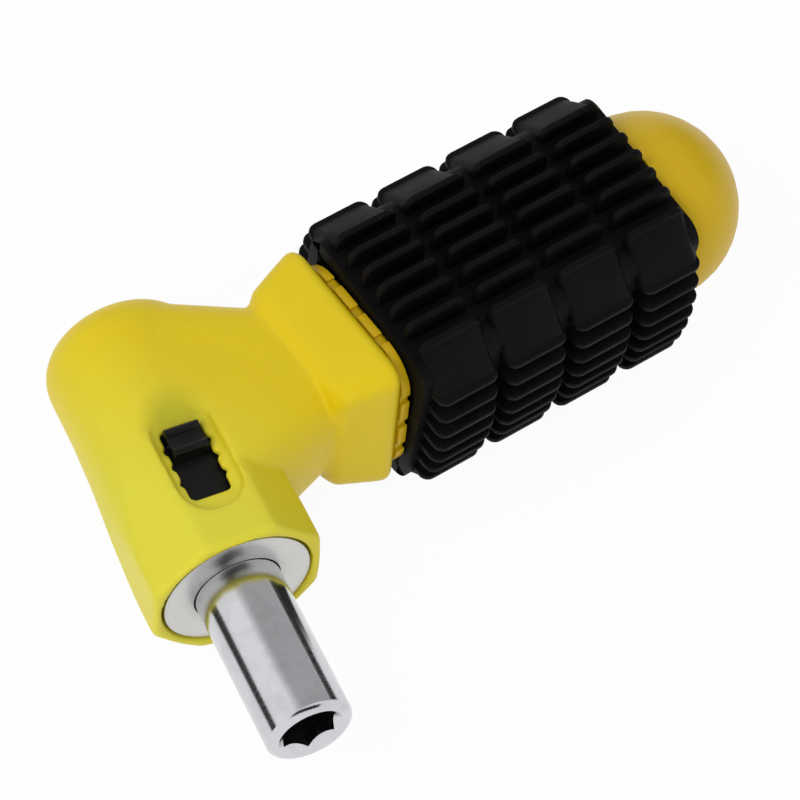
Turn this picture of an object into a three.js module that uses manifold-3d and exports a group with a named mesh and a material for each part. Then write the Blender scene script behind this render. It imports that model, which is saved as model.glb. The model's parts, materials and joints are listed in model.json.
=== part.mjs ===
// Ratchet screwdriver with an offset handle: a hex bit holder turns in a moulded head,
// and a slide switch on the head lifts one of two pawls off the ratchet gear.
// Millimetres. The bit points along -Y, the switch faces +Z and the handle runs towards +X.
import * as THREE from 'three';
import { ConvexGeometry } from 'three/addons/geometries/ConvexGeometry.js';
import { mergeVertices } from 'three/addons/utils/BufferGeometryUtils.js';
import Module from 'manifold-3d';

const wasm = await Module();
wasm.setup();

// Clearances
const SEAT_GAP = 0.3;
const RUN_GAP = 0.2;
const OVERCUT = 1;

// Lines of the tool: the handle axis leans, and crosses the bit axis a little above the origin
const HANDLE_LEAN_DEG = 10.6;
const HANDLE_RISE = 1.6;
const HEAD_END_Y = -18.6;
const HEAD_TOP_Y = 21.7;
const HOLDER_TIP_Y = -40;

// Head moulding
const HEAD_R = 10.1;
const FLARE_R = 12;
const FLARE_TOP_Y = 6;
const HEAD_EDGE_R = 1.4;
const CROWN_R = 5.2;
const OCTAGON_FLATS = 21.6;
const NECK_LOW_Y = -8;
const NECK_INSET = 0.3;
const NECK_HALF_Z = 9;
const NECK_RISE = 10.9;
const NECK_DROP = 8.7;
const NECK_CORNER_R = 6.5;

// Collar at the root of the handle; X runs along the handle axis from here on
const COLLAR_FRONT_X = 17.5;
const COLLAR_WIDTH = 8.3;
const COLLAR_FRONT_HALF = 10.2;
const COLLAR_REAR_HALF = 12;
const COLLAR_CORNER_R = 2.6;
const COLLAR_EDGE = 1;
const COLLAR_RISE = 0.6;
const SPIGOT_R = 7;
const SPIGOT_LENGTH = 19;

// Handle core
const CORE_HALF = 10;
const CORE_CORNER_R = 5.2;
const STRIP_RISE = 0.9;
const NOTCH_WIDTH = 1.4;
const NOTCH_DEPTH = 0.5;
const NOTCH_PITCH = 5;
const DOME_R = 12.4;
const DOME_RIM = 2;
const DOME_WALL = 3;
const HOLLOW_R = 6.5;
const PIN_R = 1;
const PIN_X = 38;

// Grip sleeve: rings of ribs on a square tube
const SLEEVE_FRONT_X = 27.6;
const SLEEVE_LENGTH = 41.8;
const SLEEVE_WALL = 2.1;
const SLEEVE_CORNER_R = 4.4;
const RING_COUNT = 4;
const RING_START = 0.9;
const RING_GAP = 1.5;
const RING_EDGE = 1.1;
const RIB_REACH = 16.3;
const RIB_SAG = 1.3;
const RIB_PITCH = 3;
const RIB_WIDTH = 0.9;
const CORNER_LIP = 0.5;
const GROOVES_PER_SIDE = 6;
const GROOVE_FLOOR = 0.35;
const RIB_TWIST_DEG = 5.4;

// Bore of the head
const FLANGE_R = 9.45;
const FLANGE_THICK = 1.6;
const FLANGE_SUNK = 0.3;
const CAVITY_R = 8;
const CAVITY_TOP_Y = -2.4;
const BUSH_R = 4.5;
const BUSH_LENGTH = 6;

// Bit holder
const HOLDER_R = 5.5;
const HOLDER_EDGE = 0.6;
const HEX_FLATS = 6.45;
const SOCKET_DEPTH = 13;
const MOUTH_R = 4.3;
const MOUTH_FLOOR_R = 3.1;
const MOUTH_DEPTH = 1.2;
const MAGNET_R = 2.4;
const MAGNET_LENGTH = 3;
const SHOULDER_R = 6.6;
const SHOULDER_THICK = 1.4;
const SHANK_FLATS = 5;
const JOURNAL_R = 2.3;
const WASHER_THICK = 0.7;
const CLIP_THICK = 0.6;
const CLIP_R = 3.8;
const CLIP_GROOVE_R = 1.9;
const CLIP_OPEN_DEG = 60;

// Ratchet gear and pawls
const TEETH = 24;
const GEAR_R = 4.7;
const GEAR_ROOT_R = 4;
const GEAR_LENGTH = 8;
const TOOTH_LAND_DEG = 4;
const ROOT_LAND_DEG = 2;
const PLATE_THICK = 1;
const PIVOT_R = 6.3;
const PIVOT_DEG = 4;
const PAWL_PIN_R = 0.7;
const PIN_SEAT_DEPTH = 1.6;
const PAWL_BOSS_R = 1.3;
const PAWL_BACK_R = 6.4;
const PAWL_ROOT_DEG = 10;
const PAWL_END_DEG = 60;
const NOSE_DEG = 45;
const NOSE_R = 4.15;
const NOSE_TIP_DEG = 1.4;
const NOSE_ROOT_DEG = 5.2;
const PAWL_SWING_DEG = 10.3;
const LEAF_THICK = 0.3;
const LEAF_ROOT_DEG = 16;
const LEAF_TIP_DEG = 42;
const LUG_Y = -7.4;
const LUG_WIDTH = 1.4;
const LUG_THICK = 0.6;
const LUG_TIP_X = 1.25;
const LUG_FLOOR_Z = 5.4;
const LUG_POST_X = 2.9;
const LUG_POST_WIDTH = 0.5;
const LUG_POST_FLOOR_Z = 4.8;

// Switch: a knob in the slot, a slide under the wall and the cam below it
const SWITCH_TRAVEL = 5;
const SLOT_TOP_Y = 0.2;
const SLOT_LENGTH = 10.4;
const SLOT_HALF = 2.6;
const SLOT_WALL = 1;
const DETENT_R = 0.5;
const DETENT_PITCH = 2.5;
const RECESS_FLOOR_Z = 9;
const RECESS_HALF = 3.9;
const RECESS_MARGIN = 2.9;
const SLIDE_THICK = 0.5;
const SLIDE_HALF = 3.1;
const KNOB_LENGTH = 4;
const KNOB_RISE = 0.6;
const RIDGE_R = 0.6;
const CAM_FLOOR_Z = 4.95;
const CAM_TOP_Z = 6.9;
const CAM_WEB_HALF = 1.15;
const CAM_RAMP_HALF = 2.5;
const RAMP_LOW_Z = 5.15;
const RAMP_RISE = 0.75;
const RAMP_MARGIN = 0.8;
const PEG_R = 0.5;
const PEG_LENGTH = 1;

// Values that follow from the sizes above
const LEAN = THREE.MathUtils.degToRad(HANDLE_LEAN_DEG);
const SWING = THREE.MathUtils.degToRad(PAWL_SWING_DEG);
const RIB_TWIST = THREE.MathUtils.degToRad(RIB_TWIST_DEG);
const COLLAR_REAR_X = COLLAR_FRONT_X + COLLAR_WIDTH;
const CORE_FRONT_X = COLLAR_REAR_X + SEAT_GAP;
const STRIP_HALF = CORE_HALF + STRIP_RISE;
const SPIGOT_END_X = COLLAR_REAR_X + SPIGOT_LENGTH;
const SLEEVE_INNER = CORE_HALF + SEAT_GAP;
const SLEEVE_HALF = SLEEVE_INNER + SLEEVE_WALL;
const RING_PITCH = (SLEEVE_LENGTH - 2 * RING_START + RING_GAP) / RING_COUNT;
const RING_LENGTH = RING_PITCH - RING_GAP;
const GROOVE_WIDTH = RIB_PITCH - RIB_WIDTH;
const CORNER_OFFSET = ((GROOVES_PER_SIDE - 1) * RIB_PITCH + GROOVE_WIDTH) / 2 + CORNER_LIP;
const DOME_FRONT_X = SLEEVE_FRONT_X + SLEEVE_LENGTH + SEAT_GAP;
const DOME_CENTRE_X = DOME_FRONT_X + DOME_RIM;
const FLANGE_FACE_Y = HEAD_END_Y + FLANGE_SUNK;
const LEDGE_Y = FLANGE_FACE_Y + FLANGE_THICK + SEAT_GAP;
const SHOULDER_Y = LEDGE_Y + WASHER_THICK + SEAT_GAP;
const PLATE_Y = SHOULDER_Y + SHOULDER_THICK + SEAT_GAP;
const GEAR_Y = PLATE_Y + PLATE_THICK + SEAT_GAP;
const GEAR_TOP_Y = GEAR_Y + GEAR_LENGTH;
const CLIP_Y = GEAR_TOP_Y + SEAT_GAP;
const REAR_WASHER_Y = CLIP_Y + CLIP_THICK + SEAT_GAP;
const BUSH_Y = REAR_WASHER_Y + WASHER_THICK + SEAT_GAP;
const BUSH_TOP_Y = BUSH_Y + BUSH_LENGTH;
const SEAT_Y = HOLDER_TIP_Y + SOCKET_DEPTH;
const JOURNAL_HOLE_R = JOURNAL_R + RUN_GAP;
const PAWL_INNER_R = GEAR_R + SEAT_GAP;
const SLOT_END_Y = SLOT_TOP_Y - SLOT_LENGTH;
const SLIDE_TOP_Y = SLOT_TOP_Y + SWITCH_TRAVEL;
const SLIDE_ROOF_Z = RECESS_FLOOR_Z - SLOT_WALL;
const SLIDE_TOP_Z = SLIDE_ROOF_Z - SEAT_GAP;
const SLIDE_FLOOR_Z = SLIDE_TOP_Z - SLIDE_THICK;
const KNOB_HALF = SLOT_HALF - 2 * RUN_GAP;
const KNOB_MID_Y = SLOT_TOP_Y - SEAT_GAP - KNOB_LENGTH / 2;
const PEG_Y = LUG_Y + SWITCH_TRAVEL / 2;
const CAM_LOW_Y = LUG_Y - RAMP_MARGIN;
const CAM_HIGH_Y = LUG_Y + SWITCH_TRAVEL + RAMP_MARGIN;
const HOLDER_HOLE_R = HOLDER_R + SEAT_GAP;
const LEAF_ROOT_R = CAVITY_R - SEAT_GAP - LEAF_THICK / 2;
const LEAF_ENGAGED_R = PAWL_BACK_R + RUN_GAP + LEAF_THICK / 2;
const PAWL_MID_Y = GEAR_Y + GEAR_LENGTH / 2;

// Axes that outlines are drawn across: handle outlines in Y-Z, ratchet outlines in X-Z
const X = new THREE.Vector3(1, 0, 0);
const Y = new THREE.Vector3(0, 1, 0);
const Z = new THREE.Vector3(0, 0, 1);
const ALONG_HANDLE = new THREE.Matrix4().makeBasis(Y, Z, X);
const ALONG_BIT = new THREE.Matrix4().makeBasis(X, Z, Y.clone().negate());
const HANDLE_TURN = new THREE.Matrix4().makeRotationZ(LEAN).setPosition(0, HANDLE_RISE, 0);

// A closed three.js geometry as a solid that can be cut and joined
function solid(geometry) {
  const bare = geometry.clone();
  bare.deleteAttribute('normal');
  bare.deleteAttribute('uv');
  const welded = mergeVertices(bare, 1e-4);
  const triangles = [];
  for (let i = 0; i < welded.index.count; i += 3) {
    const [a, b, c] = [0, 1, 2].map((k) => welded.index.getX(i + k));
    if (a !== b && b !== c && c !== a) triangles.push(a, b, c);
  }
  return new wasm.Manifold(new wasm.Mesh({
    numProp: 3,
    vertProperties: new Float32Array(welded.attributes.position.array),
    triVerts: new Uint32Array(triangles),
  }));
}

function joined(bodies) {
  return bodies.reduce((whole, body) => whole.add(body));
}

function cut(body, tools) {
  return body.subtract(joined(tools));
}

function geometryOf(body) {
  const mesh = body.getMesh();
  const geometry = new THREE.BufferGeometry();
  geometry.setAttribute('position', new THREE.BufferAttribute(mesh.vertProperties, 3));
  geometry.setIndex(new THREE.BufferAttribute(mesh.triVerts, 1));
  geometry.computeVertexNormals();
  return geometry;
}

// Outline helpers
function polar(r, degrees) {
  const angle = THREE.MathUtils.degToRad(degrees);
  return [r * Math.cos(angle), r * Math.sin(angle)];
}

function roundedRect(low, high, r) {
  const shape = new THREE.Shape();
  shape.absarc(high[0] - r, high[1] - r, r, 0, Math.PI / 2);
  shape.absarc(low[0] + r, high[1] - r, r, Math.PI / 2, Math.PI);
  shape.absarc(low[0] + r, low[1] + r, r, Math.PI, 1.5 * Math.PI);
  shape.absarc(high[0] - r, low[1] + r, r, 1.5 * Math.PI, 2 * Math.PI);
  return shape;
}

function roundedSquare(half, r) {
  return roundedRect([-half, -half], [half, half], r);
}

function disc(r, x = 0, y = 0) {
  return new THREE.Shape().absarc(x, y, r, 0, 2 * Math.PI);
}

// Solid builders: one along each axis that the tool has
function extruded(shape, depth, curveSegments = 3) {
  return new THREE.ExtrudeGeometry(shape, { depth, curveSegments, bevelEnabled: false });
}

function handlePrism(shape, fromX, toX) {
  return solid(extruded(shape, toX - fromX).applyMatrix4(ALONG_HANDLE).translate(fromX, 0, 0));
}

function bitPrism(shape, lowY, highY, curveSegments = 8) {
  const geometry = extruded(shape, highY - lowY, curveSegments);
  return solid(geometry.applyMatrix4(ALONG_BIT).translate(0, highY, 0));
}

function turned(profile, segments = 32) {
  return new THREE.LatheGeometry(profile.map(([r, y]) => new THREE.Vector2(r, y)), segments);
}

function ring(innerR, outerR, lowY, highY) {
  const [a, b] = [[innerR, lowY], [innerR, highY]];
  return solid(turned([a, [outerR, lowY], [outerR, highY], b, a]));
}

function rod(r, lowY, highY, sides = 32) {
  const height = highY - lowY;
  return solid(new THREE.CylinderGeometry(r, r, height, sides).translate(0, lowY + height / 2, 0));
}

function hexRod(flats, lowY, highY) {
  return rod(flats / 2 / Math.cos(Math.PI / 6), lowY, highY, 6);
}

function block(low, high) {
  const size = high.map((value, i) => value - low[i]);
  const middle = high.map((value, i) => (value + low[i]) / 2);
  return solid(new THREE.BoxGeometry(...size).translate(...middle));
}

// Head moulding: a turned body with octagon flats, the neck, the collar and the spigot
function crownPoints(inset, steps) {
  const points = [];
  for (let i = 0; i <= steps; i += 1) {
    const [dr, dy] = polar(CROWN_R, 90 * i / steps);
    points.push([HEAD_R - inset - CROWN_R + dr, HEAD_TOP_Y - inset - CROWN_R + dy]);
  }
  return points;
}

function flareRadius(y) {
  return HEAD_R + (FLARE_R - HEAD_R) * (FLARE_TOP_Y - y) / (FLARE_TOP_Y - HEAD_END_Y);
}

function headBody() {
  const edge = [0, 1, 2, 3].map((i) => {
    const [dr, dy] = polar(HEAD_EDGE_R, 30 * i - 90);
    return [FLARE_R - HEAD_EDGE_R + dr, HEAD_END_Y + HEAD_EDGE_R + dy];
  });
  const crown = crownPoints(0, 7);
  const profile = [[0, HEAD_END_Y], ...edge, [HEAD_R, FLARE_TOP_Y], ...crown, [0, HEAD_TOP_Y]];
  const corner = OCTAGON_FLATS / 2 / Math.cos(Math.PI / 8);
  const height = HEAD_TOP_Y - HEAD_END_Y + 2 * OVERCUT;
  const octagon = new THREE.CylinderGeometry(corner, corner, height, 8).rotateY(Math.PI / 8);
  octagon.translate(0, (HEAD_TOP_Y + HEAD_END_Y) / 2, 0);
  return solid(turned(profile, 48)).intersect(solid(octagon));
}

function sectionPoints(shape, x) {
  return shape.getPoints(3).map((p) => new THREE.Vector3(x, p.x, p.y));
}

// The neck is the hull of the head's upper part, just inside its skin, and a section in the collar
function neck() {
  const rings = [[flareRadius(NECK_LOW_Y) - NECK_INSET, NECK_LOW_Y], ...crownPoints(NECK_INSET, 5)];
  const section = roundedRect([-NECK_DROP, -NECK_HALF_Z], [NECK_RISE, NECK_HALF_Z], NECK_CORNER_R);
  const points = sectionPoints(section, COLLAR_FRONT_X + COLLAR_EDGE);
  points.forEach((point) => point.applyMatrix4(HANDLE_TURN));
  for (const [r, y] of rings) {
    for (let k = 0; k < 28; k += 1) {
      const [x, z] = polar(r, 360 * k / 28);
      points.push(new THREE.Vector3(x, y, z));
    }
  }
  return solid(new ConvexGeometry(points));
}

function collar() {
  const outlines = [
    [COLLAR_FRONT_X, COLLAR_FRONT_HALF - COLLAR_EDGE],
    [COLLAR_FRONT_X + COLLAR_EDGE, COLLAR_FRONT_HALF],
    [COLLAR_REAR_X - COLLAR_EDGE, COLLAR_REAR_HALF],
    [COLLAR_REAR_X, COLLAR_REAR_HALF - COLLAR_EDGE / 2],
  ];
  const points = outlines.flatMap(([x, half]) => sectionPoints(roundedSquare(half, COLLAR_CORNER_R), x));
  return solid(new ConvexGeometry(points).translate(0, COLLAR_RISE, 0).applyMatrix4(HANDLE_TURN));
}

function crossHole(r) {
  const length = 4 * SLEEVE_HALF;
  return solid(new THREE.CylinderGeometry(r, r, length, 20).rotateX(Math.PI / 2).translate(PIN_X, 0, 0));
}

function spigot() {
  const post = turned([
    [0, COLLAR_FRONT_X + COLLAR_EDGE], [SPIGOT_R, COLLAR_FRONT_X + COLLAR_EDGE],
    [SPIGOT_R, SPIGOT_END_X - COLLAR_EDGE], [SPIGOT_R - COLLAR_EDGE, SPIGOT_END_X], [0, SPIGOT_END_X],
  ]).rotateZ(-Math.PI / 2);
  const drilled = cut(solid(post), [crossHole(PIN_R + RUN_GAP)]);
  return solid(geometryOf(drilled).applyMatrix4(HANDLE_TURN));
}

// The switch slot with a row of detent notches down each long side
function slotOutline() {
  const shape = new THREE.Shape();
  const middle = (SLOT_TOP_Y + SLOT_END_Y) / 2;
  const notches = [-1, 0, 1].map((k) => middle + k * DETENT_PITCH);
  shape.moveTo(-SLOT_HALF, SLOT_END_Y);
  shape.lineTo(SLOT_HALF, SLOT_END_Y);
  for (const y of notches) shape.absarc(SLOT_HALF, y, DETENT_R, -Math.PI / 2, Math.PI / 2);
  shape.lineTo(SLOT_HALF, SLOT_TOP_Y);
  shape.lineTo(-SLOT_HALF, SLOT_TOP_Y);
  for (const y of notches.reverse()) shape.absarc(-SLOT_HALF, y, DETENT_R, Math.PI / 2, 1.5 * Math.PI);
  return shape;
}

function switchCuts() {
  const low = [-RECESS_HALF, SLOT_END_Y - RECESS_MARGIN];
  const high = [RECESS_HALF, SLOT_TOP_Y + RECESS_MARGIN];
  const recess = extruded(roundedRect(low, high, RECESS_HALF), HEAD_R, 5).translate(0, 0, RECESS_FLOOR_Z);
  const slot = extruded(slotOutline(), SLOT_WALL + 2 * OVERCUT).translate(0, 0, SLIDE_ROOF_Z - OVERCUT);
  const half = SLIDE_HALF + SEAT_GAP;
  const pocket = block([-half, LEDGE_Y, GEAR_R - SEAT_GAP / 2], [half, SLIDE_TOP_Y + SEAT_GAP, SLIDE_ROOF_Z]);
  return [solid(recess), solid(slot), pocket];
}

function headHousing() {
  const pivot = polar(PIVOT_R, PIVOT_DEG);
  const pinSeat = (side) => {
    const seat = disc(PAWL_PIN_R + RUN_GAP, side * pivot[0], pivot[1]);
    return bitPrism(seat, CAVITY_TOP_Y - OVERCUT, CAVITY_TOP_Y + PIN_SEAT_DEPTH, 6);
  };
  return cut(joined([headBody(), neck(), collar(), spigot()]), [
    rod(FLANGE_R + SEAT_GAP, HEAD_END_Y - OVERCUT, LEDGE_Y, 40),
    rod(CAVITY_R, LEDGE_Y - OVERCUT, CAVITY_TOP_Y),
    rod(BUSH_R + RUN_GAP, CAVITY_TOP_Y - OVERCUT, BUSH_TOP_Y + SEAT_GAP),
    pinSeat(1), pinSeat(-1), ...switchCuts(),
  ]);
}

// Handle core: a keyed strip in front, a square body under the sleeve and the domed end
function handleCore() {
  const stripEndX = SLEEVE_FRONT_X - SEAT_GAP;
  const dome = [[0, DOME_FRONT_X], [DOME_R - RUN_GAP, DOME_FRONT_X]];
  for (let i = 0; i < 10; i += 1) {
    const [r, along] = polar(DOME_R, 9 * i);
    dome.push([r, DOME_CENTRE_X + along]);
  }
  dome.push([0, DOME_CENTRE_X + DOME_R]);
  const bore = [
    [0, CORE_FRONT_X - OVERCUT], [SPIGOT_R + RUN_GAP, CORE_FRONT_X - OVERCUT],
    [SPIGOT_R + RUN_GAP, SPIGOT_END_X + SEAT_GAP], [HOLLOW_R, SPIGOT_END_X + OVERCUT],
    [HOLLOW_R, DOME_CENTRE_X], [0, DOME_CENTRE_X + DOME_R - DOME_WALL],
  ];
  const notches = [];
  for (let side = 0; side < 4; side += 1) {
    for (const k of [-1, 0, 1]) {
      const deep = NOTCH_DEPTH + OVERCUT;
      const notch = new THREE.BoxGeometry(2 * OVERCUT + stripEndX - CORE_FRONT_X, NOTCH_WIDTH, deep);
      notch.translate((CORE_FRONT_X + stripEndX) / 2, k * NOTCH_PITCH, STRIP_HALF - NOTCH_DEPTH + deep / 2);
      notches.push(solid(notch.rotateX(side * Math.PI / 2)));
    }
  }
  const strip = handlePrism(roundedSquare(STRIP_HALF, CORE_CORNER_R), CORE_FRONT_X, stripEndX);
  const body = handlePrism(roundedSquare(CORE_HALF, CORE_CORNER_R), stripEndX - OVERCUT / 2, DOME_CENTRE_X);
  const end = solid(turned(dome, 44).rotateZ(-Math.PI / 2));
  const hole = solid(turned(bore, 32).rotateZ(-Math.PI / 2));
  return cut(joined([cut(strip, notches), body, end]), [hole, crossHole(PIN_R + RUN_GAP)]);
}

function handlePin() {
  const length = 2 * (CORE_HALF - SEAT_GAP);
  return new THREE.CylinderGeometry(PIN_R, PIN_R, length, 20).rotateX(Math.PI / 2).translate(PIN_X, 0, 0);
}

// Grip sleeve: each ring has four bowed sides joined by flat corners, and grooves leave the ribs.
// The rings stand a little twisted on the square tube.
function ringOutline() {
  const bowR = (CORNER_OFFSET ** 2 + RIB_SAG ** 2) / (2 * RIB_SAG);
  const half = Math.asin(CORNER_OFFSET / bowR);
  const shape = new THREE.Shape();
  for (let side = 0; side < 4; side += 1) {
    const facing = side * 90;
    const mid = THREE.MathUtils.degToRad(facing);
    const [x, y] = polar(RIB_REACH - bowR, facing);
    shape.absarc(x, y, bowR, mid - half, mid + half);
  }
  return shape;
}

function gripSleeve() {
  const rearX = SLEEVE_FRONT_X + SLEEVE_LENGTH;
  const parts = [handlePrism(roundedSquare(SLEEVE_HALF, SLEEVE_CORNER_R), SLEEVE_FRONT_X, rearX)];
  for (let i = 0; i < RING_COUNT; i += 1) {
    const ringSolid = new THREE.ExtrudeGeometry(ringOutline(), {
      depth: RING_LENGTH - 2 * RING_EDGE, curveSegments: 4, bevelSegments: 2,
      bevelThickness: RING_EDGE, bevelSize: RING_EDGE, bevelOffset: -RING_EDGE,
    }).applyMatrix4(ALONG_HANDLE).rotateX(RIB_TWIST);
    parts.push(solid(ringSolid.translate(SLEEVE_FRONT_X + RING_START + RING_EDGE + i * RING_PITCH, 0, 0)));
  }
  const floor = SLEEVE_HALF + GROOVE_FLOOR;
  const grooves = [];
  for (let side = 0; side < 4; side += 1) {
    for (let k = 0; k < GROOVES_PER_SIDE; k += 1) {
      const offset = (k - (GROOVES_PER_SIDE - 1) / 2) * RIB_PITCH;
      const groove = new THREE.BoxGeometry(SLEEVE_LENGTH, GROOVE_WIDTH, RIB_REACH);
      groove.translate(SLEEVE_FRONT_X + SLEEVE_LENGTH / 2, offset, floor + RIB_REACH / 2);
      grooves.push(solid(groove.rotateX(side * Math.PI / 2 + RIB_TWIST)));
    }
  }
  const innerR = CORE_CORNER_R + SEAT_GAP;
  const bore = handlePrism(roundedSquare(SLEEVE_INNER, innerR), SLEEVE_FRONT_X - OVERCUT, rearX + OVERCUT);
  return cut(joined(parts), [...grooves, bore]);
}

// Bit holder with its hex socket, shoulder, hex shank for the gear and rear journal
function bitHolder() {
  const barrel = turned([
    [0, HOLDER_TIP_Y], [HOLDER_R - HOLDER_EDGE, HOLDER_TIP_Y], [HOLDER_R, HOLDER_TIP_Y + HOLDER_EDGE],
    [HOLDER_R, SHOULDER_Y], [SHOULDER_R, SHOULDER_Y],
    [SHOULDER_R, SHOULDER_Y + SHOULDER_THICK], [0, SHOULDER_Y + SHOULDER_THICK],
  ], 48);
  const grooveLow = CLIP_Y - RUN_GAP / 2;
  const grooveHigh = CLIP_Y + CLIP_THICK + RUN_GAP / 2;
  const journal = turned([
    [0, GEAR_TOP_Y - OVERCUT], [JOURNAL_R, GEAR_TOP_Y - OVERCUT], [JOURNAL_R, grooveLow],
    [CLIP_GROOVE_R, grooveLow], [CLIP_GROOVE_R, grooveHigh], [JOURNAL_R, grooveHigh],
    [JOURNAL_R, BUSH_TOP_Y - SEAT_GAP], [0, BUSH_TOP_Y - SEAT_GAP],
  ]);
  const shank = hexRod(SHANK_FLATS, SHOULDER_Y, GEAR_TOP_Y);
  const mouth = turned([
    [0, HOLDER_TIP_Y - OVERCUT], [MOUTH_R, HOLDER_TIP_Y - OVERCUT], [MOUTH_R, HOLDER_TIP_Y],
    [MOUTH_FLOOR_R, HOLDER_TIP_Y + MOUTH_DEPTH], [0, HOLDER_TIP_Y + MOUTH_DEPTH],
  ]);
  return cut(joined([solid(barrel), shank, solid(journal)]), [
    hexRod(HEX_FLATS, HOLDER_TIP_Y - OVERCUT, SEAT_Y), solid(mouth),
    rod(MAGNET_R + RUN_GAP, SEAT_Y - OVERCUT, SEAT_Y + MAGNET_LENGTH + SEAT_GAP),
  ]);
}

function gearClip() {
  const half = THREE.MathUtils.degToRad(CLIP_OPEN_DEG / 2);
  const shape = new THREE.Shape();
  shape.absarc(0, 0, CLIP_R, half, 2 * Math.PI - half);
  shape.absarc(0, 0, CLIP_GROOVE_R + RUN_GAP, 2 * Math.PI - half, half, true);
  return bitPrism(shape, CLIP_Y, CLIP_Y + CLIP_THICK, 12);
}

// Ratchet: even teeth work both ways, and a gap stands at the nose of each pawl
function ratchetGear() {
  const pitch = 360 / TEETH;
  const outline = [];
  for (let i = 0; i < TEETH; i += 1) {
    const tooth = NOSE_DEG + (i + 0.5) * pitch;
    outline.push(polar(GEAR_R, tooth - TOOTH_LAND_DEG / 2), polar(GEAR_R, tooth + TOOTH_LAND_DEG / 2));
    const gap = tooth + pitch / 2;
    outline.push(polar(GEAR_ROOT_R, gap - ROOT_LAND_DEG / 2), polar(GEAR_ROOT_R, gap + ROOT_LAND_DEG / 2));
  }
  const shape = new THREE.Shape(outline.map(([x, z]) => new THREE.Vector2(x, z)));
  const bore = hexRod(SHANK_FLATS + RUN_GAP, GEAR_Y - OVERCUT, GEAR_TOP_Y + OVERCUT);
  return cut(bitPrism(shape, GEAR_Y, GEAR_TOP_Y), [bore]);
}

function pawlPlate() {
  const pivot = polar(PIVOT_R, PIVOT_DEG);
  const shape = disc(CAVITY_R - SEAT_GAP);
  shape.holes.push(disc(CLIP_R));
  for (const side of [-1, 1]) shape.holes.push(disc(PAWL_PIN_R + RUN_GAP, side * pivot[0], pivot[1]));
  const half = SLIDE_HALF + SEAT_GAP;
  const gate = block([-half, PLATE_Y - OVERCUT, 0], [half, PLATE_Y + PLATE_THICK + OVERCUT, CAVITY_R]);
  return cut(bitPrism(shape, PLATE_Y, PLATE_Y + PLATE_THICK, 16), [gate]);
}

// A pawl about its own pivot, at mid length, with the lug that rides on the cam
function pawl(lugY) {
  const [pivotX, pivotZ] = polar(PIVOT_R, PIVOT_DEG);
  const turn = THREE.MathUtils.degToRad;
  const shape = new THREE.Shape();
  shape.absarc(0, 0, PAWL_INNER_R, turn(PAWL_ROOT_DEG), turn(NOSE_DEG - NOSE_ROOT_DEG / 2));
  shape.lineTo(...polar(NOSE_R, NOSE_DEG - NOSE_TIP_DEG / 2));
  shape.lineTo(...polar(NOSE_R, NOSE_DEG + NOSE_TIP_DEG / 2));
  shape.absarc(0, 0, PAWL_INNER_R, turn(NOSE_DEG + NOSE_ROOT_DEG / 2), turn(PAWL_END_DEG));
  shape.absarc(0, 0, PAWL_BACK_R, turn(PAWL_END_DEG), turn(PAWL_ROOT_DEG), true);
  const half = (GEAR_LENGTH - SEAT_GAP) / 2;
  const boss = bitPrism(disc(PAWL_BOSS_R, pivotX, pivotZ), -half, half, 6);
  const hole = bitPrism(disc(PAWL_PIN_R + RUN_GAP, pivotX, pivotZ), -half - OVERCUT, half + OVERCUT, 6);
  const [lugLow, lugHigh] = [lugY - LUG_WIDTH / 2, lugY + LUG_WIDTH / 2];
  const lugTopZ = LUG_FLOOR_Z + LUG_THICK;
  const postEndX = LUG_POST_X + LUG_POST_WIDTH;
  const lug = block([LUG_TIP_X, lugLow, LUG_FLOOR_Z], [postEndX, lugHigh, lugTopZ]);
  const post = block([LUG_POST_X, lugLow, LUG_POST_FLOOR_Z], [postEndX, lugHigh, lugTopZ]);
  const body = cut(joined([bitPrism(shape, -half, half, 5), boss, lug, post]), [hole]);
  return geometryOf(body).translate(-pivotX, 0, -pivotZ);
}

// A leaf between the cavity wall and the back of a pawl, in the pawl's own half
function leafSpring(side, tipR) {
  const outer = [];
  const inner = [];
  for (let i = 0; i <= 6; i += 1) {
    const degrees = LEAF_ROOT_DEG + (LEAF_TIP_DEG - LEAF_ROOT_DEG) * i / 6;
    const r = LEAF_ROOT_R + (tipR - LEAF_ROOT_R) * (i / 6) ** 2;
    outer.push(polar(r + LEAF_THICK / 2, degrees));
    inner.unshift(polar(r - LEAF_THICK / 2, degrees));
  }
  const outline = [...outer, ...inner].map(([x, z]) => new THREE.Vector2(side * x, z));
  return bitPrism(new THREE.Shape(outline), GEAR_Y + OVERCUT, GEAR_TOP_Y - OVERCUT);
}

function pawlPin(side) {
  const [x, z] = polar(PIVOT_R, PIVOT_DEG);
  const [lowY, highY] = [PLATE_Y + RUN_GAP, CAVITY_TOP_Y + PIN_SEAT_DEPTH - SEAT_GAP];
  const pin = new THREE.CylinderGeometry(PAWL_PIN_R, PAWL_PIN_R, highY - lowY, 16);
  return pin.translate(side * x, (lowY + highY) / 2, z);
}

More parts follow.
